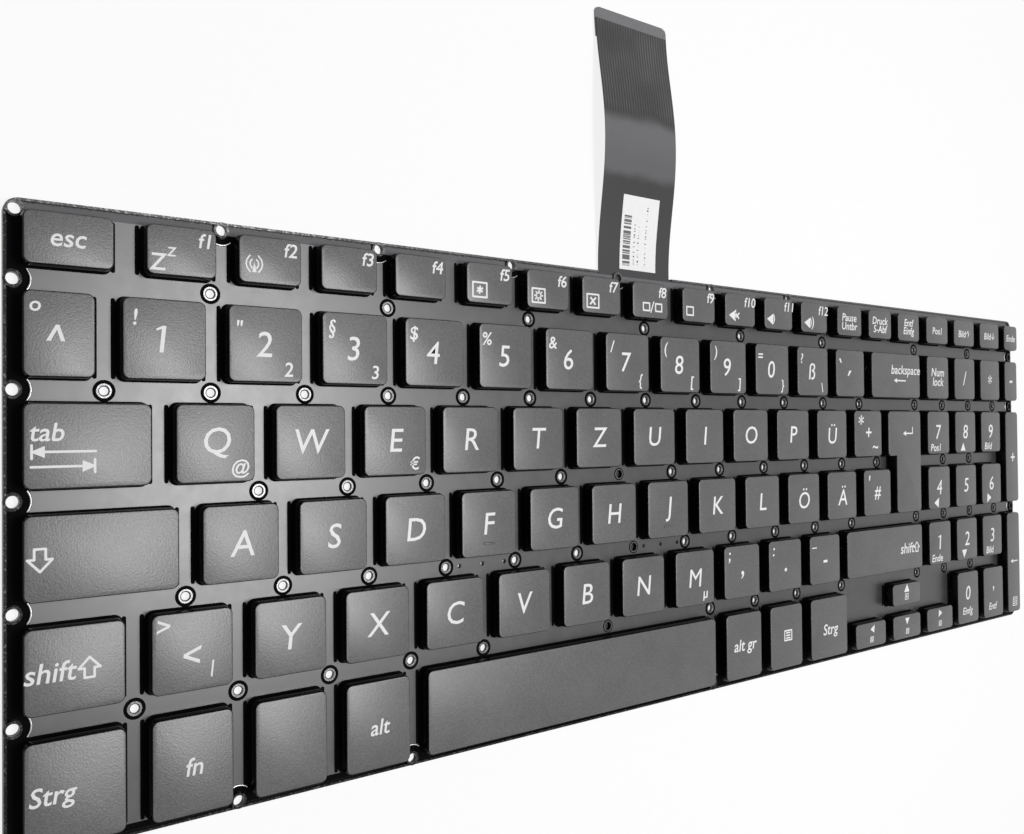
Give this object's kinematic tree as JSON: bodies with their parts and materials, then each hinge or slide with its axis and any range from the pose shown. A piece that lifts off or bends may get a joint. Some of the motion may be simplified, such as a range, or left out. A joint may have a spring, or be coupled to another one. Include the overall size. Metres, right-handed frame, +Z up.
{
  "type": "laptop keyboard",
  "caption": "Frameless laptop keyboard with number pad: flat caps on scissor frames and rubber domes over a stamped plate, with a flat cable at the rear.",
  "frame": {"origin": "middle of the underside of the sheet stack, cable left out", "axes": "+X along the rows towards the number pad, +Y towards the rear edge and the cable, +Z up out of the keys"},
  "size_m": [0.3432, 0.1781, 0.0046],
  "materials": {
    "cap_plastic": "fine matte grain",
    "frame_plastic": "smooth satin",
    "film": "satin film",
    "plate": "gloss black coating, bare at the cut edges",
    "membrane": "clear polyester with printed silver tracks",
    "spacer": "clear polyester",
    "membrane_black": "black printed polyester",
    "cover": "satin",
    "dome_rubber": "smooth",
    "wire": "drawn wire",
    "cable": "satin, fine lengthwise tracks",
    "stiffener": "satin",
    "label": "matte"
  },
  "bodies": {
    "base": {"backing_film": "film", "base_plate": "plate", "membrane_lower": "membrane", "membrane_spacer": "spacer", "membrane_upper": "membrane_black", "cover_sheet": "cover", "rubber_domes": "dome_rubber", "scissor_outer_frames": "frame_plastic", "scissor_inner_frames": "frame_plastic", "stabiliser_wires": "wire", "flat_cable": "cable", "cable_stiffener": "stiffener", "cable_label": "label", "function_row_keys": "cap_plastic", "number_row_keys": "cap_plastic", "bottom_row_keys": "cap_plastic", "numpad_keys": "cap_plastic"},
    "key_q": {"key_q": "cap_plastic"},
    "key_w": {"key_w": "cap_plastic"},
    "key_e": {"key_e": "cap_plastic"},
    "key_r": {"key_r": "cap_plastic"},
    "key_t": {"key_t": "cap_plastic"},
    "key_z": {"key_z": "cap_plastic"},
    "key_u": {"key_u": "cap_plastic"},
    "key_i": {"key_i": "cap_plastic"},
    "key_o": {"key_o": "cap_plastic"},
    "key_p": {"key_p": "cap_plastic"},
    "key_u_umlaut": {"key_u_umlaut": "cap_plastic"},
    "key_plus": {"key_plus": "cap_plastic"},
    "key_a": {"key_a": "cap_plastic"},
    "key_s": {"key_s": "cap_plastic"},
    "key_d": {"key_d": "cap_plastic"},
    "key_f": {"key_f": "cap_plastic"},
    "key_g": {"key_g": "cap_plastic"},
    "key_h": {"key_h": "cap_plastic"},
    "key_j": {"key_j": "cap_plastic"},
    "key_k": {"key_k": "cap_plastic"},
    "key_l": {"key_l": "cap_plastic"},
    "key_o_umlaut": {"key_o_umlaut": "cap_plastic"},
    "key_a_umlaut": {"key_a_umlaut": "cap_plastic"},
    "key_hash": {"key_hash": "cap_plastic"},
    "key_angle_bracket": {"key_angle_bracket": "cap_plastic"},
    "key_y": {"key_y": "cap_plastic"},
    "key_x": {"key_x": "cap_plastic"},
    "key_c": {"key_c": "cap_plastic"},
    "key_v": {"key_v": "cap_plastic"},
    "key_b": {"key_b": "cap_plastic"},
    "key_n": {"key_n": "cap_plastic"},
    "key_m": {"key_m": "cap_plastic"},
    "key_comma": {"key_comma": "cap_plastic"},
    "key_period": {"key_period": "cap_plastic"},
    "key_minus": {"key_minus": "cap_plastic"},
    "key_tab": {"key_tab": "cap_plastic"},
    "key_caps_lock": {"key_caps_lock": "cap_plastic"},
    "key_left_shift": {"key_left_shift": "cap_plastic"},
    "key_right_shift": {"key_right_shift": "cap_plastic"},
    "key_space": {"key_space": "cap_plastic"},
    "key_enter": {"key_enter": "cap_plastic"},
    "key_q_outer_frame": {"key_q_outer_frame": "frame_plastic"},
    "key_q_inner_frame": {"key_q_inner_frame": "frame_plastic"}
  },
  "joints": [
    {"name": "key_q_press", "type": "slide", "parent": "base", "child": "key_q", "axis": [0, 0, 1], "range_m": [-0.0016, 0], "stiffness_N_per_m": 250, "springref_m": 0.0008, "deforming": ["rubber_domes"]},
    {"name": "key_w_press", "type": "slide", "parent": "base", "child": "key_w", "axis": [0, 0, 1], "range_m": [-0.0016, 0], "stiffness_N_per_m": 250, "springref_m": 0.0008, "deforming": ["rubber_domes", "scissor_outer_frames", "scissor_inner_frames"]},
    {"name": "key_e_press", "type": "slide", "parent": "base", "child": "key_e", "axis": [0, 0, 1], "range_m": [-0.0016, 0], "stiffness_N_per_m": 250, "springref_m": 0.0008, "deforming": ["rubber_domes", "scissor_outer_frames", "scissor_inner_frames"]},
    {"name": "key_r_press", "type": "slide", "parent": "base", "child": "key_r", "axis": [0, 0, 1], "range_m": [-0.0016, 0], "stiffness_N_per_m": 250, "springref_m": 0.0008, "deforming": ["rubber_domes", "scissor_outer_frames", "scissor_inner_frames"]},
    {"name": "key_t_press", "type": "slide", "parent": "base", "child": "key_t", "axis": [0, 0, 1], "range_m": [-0.0016, 0], "stiffness_N_per_m": 250, "springref_m": 0.0008, "deforming": ["rubber_domes", "scissor_outer_frames", "scissor_inner_frames"]},
    {"name": "key_z_press", "type": "slide", "parent": "base", "child": "key_z", "axis": [0, 0, 1], "range_m": [-0.0016, 0], "stiffness_N_per_m": 250, "springref_m": 0.0008, "deforming": ["rubber_domes", "scissor_outer_frames", "scissor_inner_frames"]},
    {"name": "key_u_press", "type": "slide", "parent": "base", "child": "key_u", "axis": [0, 0, 1], "range_m": [-0.0016, 0], "stiffness_N_per_m": 250, "springref_m": 0.0008, "deforming": ["rubber_domes", "scissor_outer_frames", "scissor_inner_frames"]},
    {"name": "key_i_press", "type": "slide", "parent": "base", "child": "key_i", "axis": [0, 0, 1], "range_m": [-0.0016, 0], "stiffness_N_per_m": 250, "springref_m": 0.0008, "deforming": ["rubber_domes", "scissor_outer_frames", "scissor_inner_frames"]},
    {"name": "key_o_press", "type": "slide", "parent": "base", "child": "key_o", "axis": [0, 0, 1], "range_m": [-0.0016, 0], "stiffness_N_per_m": 250, "springref_m": 0.0008, "deforming": ["rubber_domes", "scissor_outer_frames", "scissor_inner_frames"]},
    {"name": "key_p_press", "type": "slide", "parent": "base", "child": "key_p", "axis": [0, 0, 1], "range_m": [-0.0016, 0], "stiffness_N_per_m": 250, "springref_m": 0.0008, "deforming": ["rubber_domes", "scissor_outer_frames", "scissor_inner_frames"]},
    {"name": "key_u_umlaut_press", "type": "slide", "parent": "base", "child": "key_u_umlaut", "axis": [0, 0, 1], "range_m": [-0.0016, 0], "stiffness_N_per_m": 250, "springref_m": 0.0008, "deforming": ["rubber_domes", "scissor_outer_frames", "scissor_inner_frames"]},
    {"name": "key_plus_press", "type": "slide", "parent": "base", "child": "key_plus", "axis": [0, 0, 1], "range_m": [-0.0016, 0], "stiffness_N_per_m": 250, "springref_m": 0.0008, "deforming": ["rubber_domes", "scissor_outer_frames", "scissor_inner_frames"]},
    {"name": "key_a_press", "type": "slide", "parent": "base", "child": "key_a", "axis": [0, 0, 1], "range_m": [-0.0016, 0], "stiffness_N_per_m": 250, "springref_m": 0.0008, "deforming": ["rubber_domes", "scissor_outer_frames", "scissor_inner_frames"]},
    {"name": "key_s_press", "type": "slide", "parent": "base", "child": "key_s", "axis": [0, 0, 1], "range_m": [-0.0016, 0], "stiffness_N_per_m": 250, "springref_m": 0.0008, "deforming": ["rubber_domes", "scissor_outer_frames", "scissor_inner_frames"]},
    {"name": "key_d_press", "type": "slide", "parent": "base", "child": "key_d", "axis": [0, 0, 1], "range_m": [-0.0016, 0], "stiffness_N_per_m": 250, "springref_m": 0.0008, "deforming": ["rubber_domes", "scissor_outer_frames", "scissor_inner_frames"]},
    {"name": "key_f_press", "type": "slide", "parent": "base", "child": "key_f", "axis": [0, 0, 1], "range_m": [-0.0016, 0], "stiffness_N_per_m": 250, "springref_m": 0.0008, "deforming": ["rubber_domes", "scissor_outer_frames", "scissor_inner_frames"]},
    {"name": "key_g_press", "type": "slide", "parent": "base", "child": "key_g", "axis": [0, 0, 1], "range_m": [-0.0016, 0], "stiffness_N_per_m": 250, "springref_m": 0.0008, "deforming": ["rubber_domes", "scissor_outer_frames", "scissor_inner_frames"]},
    {"name": "key_h_press", "type": "slide", "parent": "base", "child": "key_h", "axis": [0, 0, 1], "range_m": [-0.0016, 0], "stiffness_N_per_m": 250, "springref_m": 0.0008, "deforming": ["rubber_domes", "scissor_outer_frames", "scissor_inner_frames"]},
    {"name": "key_j_press", "type": "slide", "parent": "base", "child": "key_j", "axis": [0, 0, 1], "range_m": [-0.0016, 0], "stiffness_N_per_m": 250, "springref_m": 0.0008, "deforming": ["rubber_domes", "scissor_outer_frames", "scissor_inner_frames"]},
    {"name": "key_k_press", "type": "slide", "parent": "base", "child": "key_k", "axis": [0, 0, 1], "range_m": [-0.0016, 0], "stiffness_N_per_m": 250, "springref_m": 0.0008, "deforming": ["rubber_domes", "scissor_outer_frames", "scissor_inner_frames"]},
    {"name": "key_l_press", "type": "slide", "parent": "base", "child": "key_l", "axis": [0, 0, 1], "range_m": [-0.0016, 0], "stiffness_N_per_m": 250, "springref_m": 0.0008, "deforming": ["rubber_domes", "scissor_outer_frames", "scissor_inner_frames"]},
    {"name": "key_o_umlaut_press", "type": "slide", "parent": "base", "child": "key_o_umlaut", "axis": [0, 0, 1], "range_m": [-0.0016, 0], "stiffness_N_per_m": 250, "springref_m": 0.0008, "deforming": ["rubber_domes", "scissor_outer_frames", "scissor_inner_frames"]},
    {"name": "key_a_umlaut_press", "type": "slide", "parent": "base", "child": "key_a_umlaut", "axis": [0, 0, 1], "range_m": [-0.0016, 0], "stiffness_N_per_m": 250, "springref_m": 0.0008, "deforming": ["rubber_domes", "scissor_outer_frames", "scissor_inner_frames"]},
    {"name": "key_hash_press", "type": "slide", "parent": "base", "child": "key_hash", "axis": [0, 0, 1], "range_m": [-0.0016, 0], "stiffness_N_per_m": 250, "springref_m": 0.0008, "deforming": ["rubber_domes", "scissor_outer_frames", "scissor_inner_frames"]},
    {"name": "key_angle_bracket_press", "type": "slide", "parent": "base", "child": "key_angle_bracket", "axis": [0, 0, 1], "range_m": [-0.0016, 0], "stiffness_N_per_m": 250, "springref_m": 0.0008, "deforming": ["rubber_domes", "scissor_outer_frames", "scissor_inner_frames"]},
    {"name": "key_y_press", "type": "slide", "parent": "base", "child": "key_y", "axis": [0, 0, 1], "range_m": [-0.0016, 0], "stiffness_N_per_m": 250, "springref_m": 0.0008, "deforming": ["rubber_domes", "scissor_outer_frames", "scissor_inner_frames"]},
    {"name": "key_x_press", "type": "slide", "parent": "base", "child": "key_x", "axis": [0, 0, 1], "range_m": [-0.0016, 0], "stiffness_N_per_m": 250, "springref_m": 0.0008, "deforming": ["rubber_domes", "scissor_outer_frames", "scissor_inner_frames"]},
    {"name": "key_c_press", "type": "slide", "parent": "base", "child": "key_c", "axis": [0, 0, 1], "range_m": [-0.0016, 0], "stiffness_N_per_m": 250, "springref_m": 0.0008, "deforming": ["rubber_domes", "scissor_outer_frames", "scissor_inner_frames"]},
    {"name": "key_v_press", "type": "slide", "parent": "base", "child": "key_v", "axis": [0, 0, 1], "range_m": [-0.0016, 0], "stiffness_N_per_m": 250, "springref_m": 0.0008, "deforming": ["rubber_domes", "scissor_outer_frames", "scissor_inner_frames"]},
    {"name": "key_b_press", "type": "slide", "parent": "base", "child": "key_b", "axis": [0, 0, 1], "range_m": [-0.0016, 0], "stiffness_N_per_m": 250, "springref_m": 0.0008, "deforming": ["rubber_domes", "scissor_outer_frames", "scissor_inner_frames"]},
    {"name": "key_n_press", "type": "slide", "parent": "base", "child": "key_n", "axis": [0, 0, 1], "range_m": [-0.0016, 0], "stiffness_N_per_m": 250, "springref_m": 0.0008, "deforming": ["rubber_domes", "scissor_outer_frames", "scissor_inner_frames"]},
    {"name": "key_m_press", "type": "slide", "parent": "base", "child": "key_m", "axis": [0, 0, 1], "range_m": [-0.0016, 0], "stiffness_N_per_m": 250, "springref_m": 0.0008, "deforming": ["rubber_domes", "scissor_outer_frames", "scissor_inner_frames"]},
    {"name": "key_comma_press", "type": "slide", "parent": "base", "child": "key_comma", "axis": [0, 0, 1], "range_m": [-0.0016, 0], "stiffness_N_per_m": 250, "springref_m": 0.0008, "deforming": ["rubber_domes", "scissor_outer_frames", "scissor_inner_frames"]},
    {"name": "key_period_press", "type": "slide", "parent": "base", "child": "key_period", "axis": [0, 0, 1], "range_m": [-0.0016, 0], "stiffness_N_per_m": 250, "springref_m": 0.0008, "deforming": ["rubber_domes", "scissor_outer_frames", "scissor_inner_frames"]},
    {"name": "key_minus_press", "type": "slide", "parent": "base", "child": "key_minus", "axis": [0, 0, 1], "range_m": [-0.0016, 0], "stiffness_N_per_m": 250, "springref_m": 0.0008, "deforming": ["rubber_domes", "scissor_outer_frames", "scissor_inner_frames"]},
    {"name": "key_tab_press", "type": "slide", "parent": "base", "child": "key_tab", "axis": [0, 0, 1], "range_m": [-0.0016, 0], "stiffness_N_per_m": 250, "springref_m": 0.0008, "deforming": ["rubber_domes", "scissor_outer_frames", "scissor_inner_frames", "stabiliser_wires"]},
    {"name": "key_caps_lock_press", "type": "slide", "parent": "base", "child": "key_caps_lock", "axis": [0, 0, 1], "range_m": [-0.0016, 0], "stiffness_N_per_m": 250, "springref_m": 0.0008, "deforming": ["rubber_domes", "scissor_outer_frames", "scissor_inner_frames", "stabiliser_wires"]},
    {"name": "key_left_shift_press", "type": "slide", "parent": "base", "child": "key_left_shift", "axis": [0, 0, 1], "range_m": [-0.0016, 0], "stiffness_N_per_m": 250, "springref_m": 0.0008, "deforming": ["rubber_domes", "scissor_outer_frames", "scissor_inner_frames"]},
    {"name": "key_right_shift_press", "type": "slide", "parent": "base", "child": "key_right_shift", "axis": [0, 0, 1], "range_m": [-0.0016, 0], "stiffness_N_per_m": 250, "springref_m": 0.0008, "deforming": ["rubber_domes", "scissor_outer_frames", "scissor_inner_frames", "stabiliser_wires"]},
    {"name": "key_space_press", "type": "slide", "parent": "base", "child": "key_space", "axis": [0, 0, 1], "range_m": [-0.0016, 0], "stiffness_N_per_m": 250, "springref_m": 0.0008, "deforming": ["rubber_domes", "scissor_outer_frames", "scissor_inner_frames", "stabiliser_wires"]},
    {"name": "key_enter_press", "type": "slide", "parent": "base", "child": "key_enter", "axis": [0, 0, 1], "range_m": [-0.0016, 0], "stiffness_N_per_m": 250, "springref_m": 0.0008, "deforming": ["rubber_domes", "scissor_outer_frames", "scissor_inner_frames", "stabiliser_wires"]},
    {"name": "key_q_outer_hinge", "type": "hinge", "parent": "base", "child": "key_q_outer_frame", "pos_m": [-0.14208, 0.01375, 0.0014], "axis": [0, 1, 0], "range_deg": [0, 8.58]},
    {"name": "key_q_inner_hinge", "type": "hinge", "parent": "key_q", "child": "key_q_inner_frame", "pos_m": [-0.14117, 0.01375, 0.0032], "axis": [0, 1, 0], "range_deg": [-10.31, 0]}
  ],
  "couplings": [
    {"joint": "key_q_outer_hinge", "follows": "key_q_press", "rad_per_m": -93.08},
    {"joint": "key_q_inner_hinge", "follows": "key_q_press", "rad_per_m": 111.96}
  ]
}
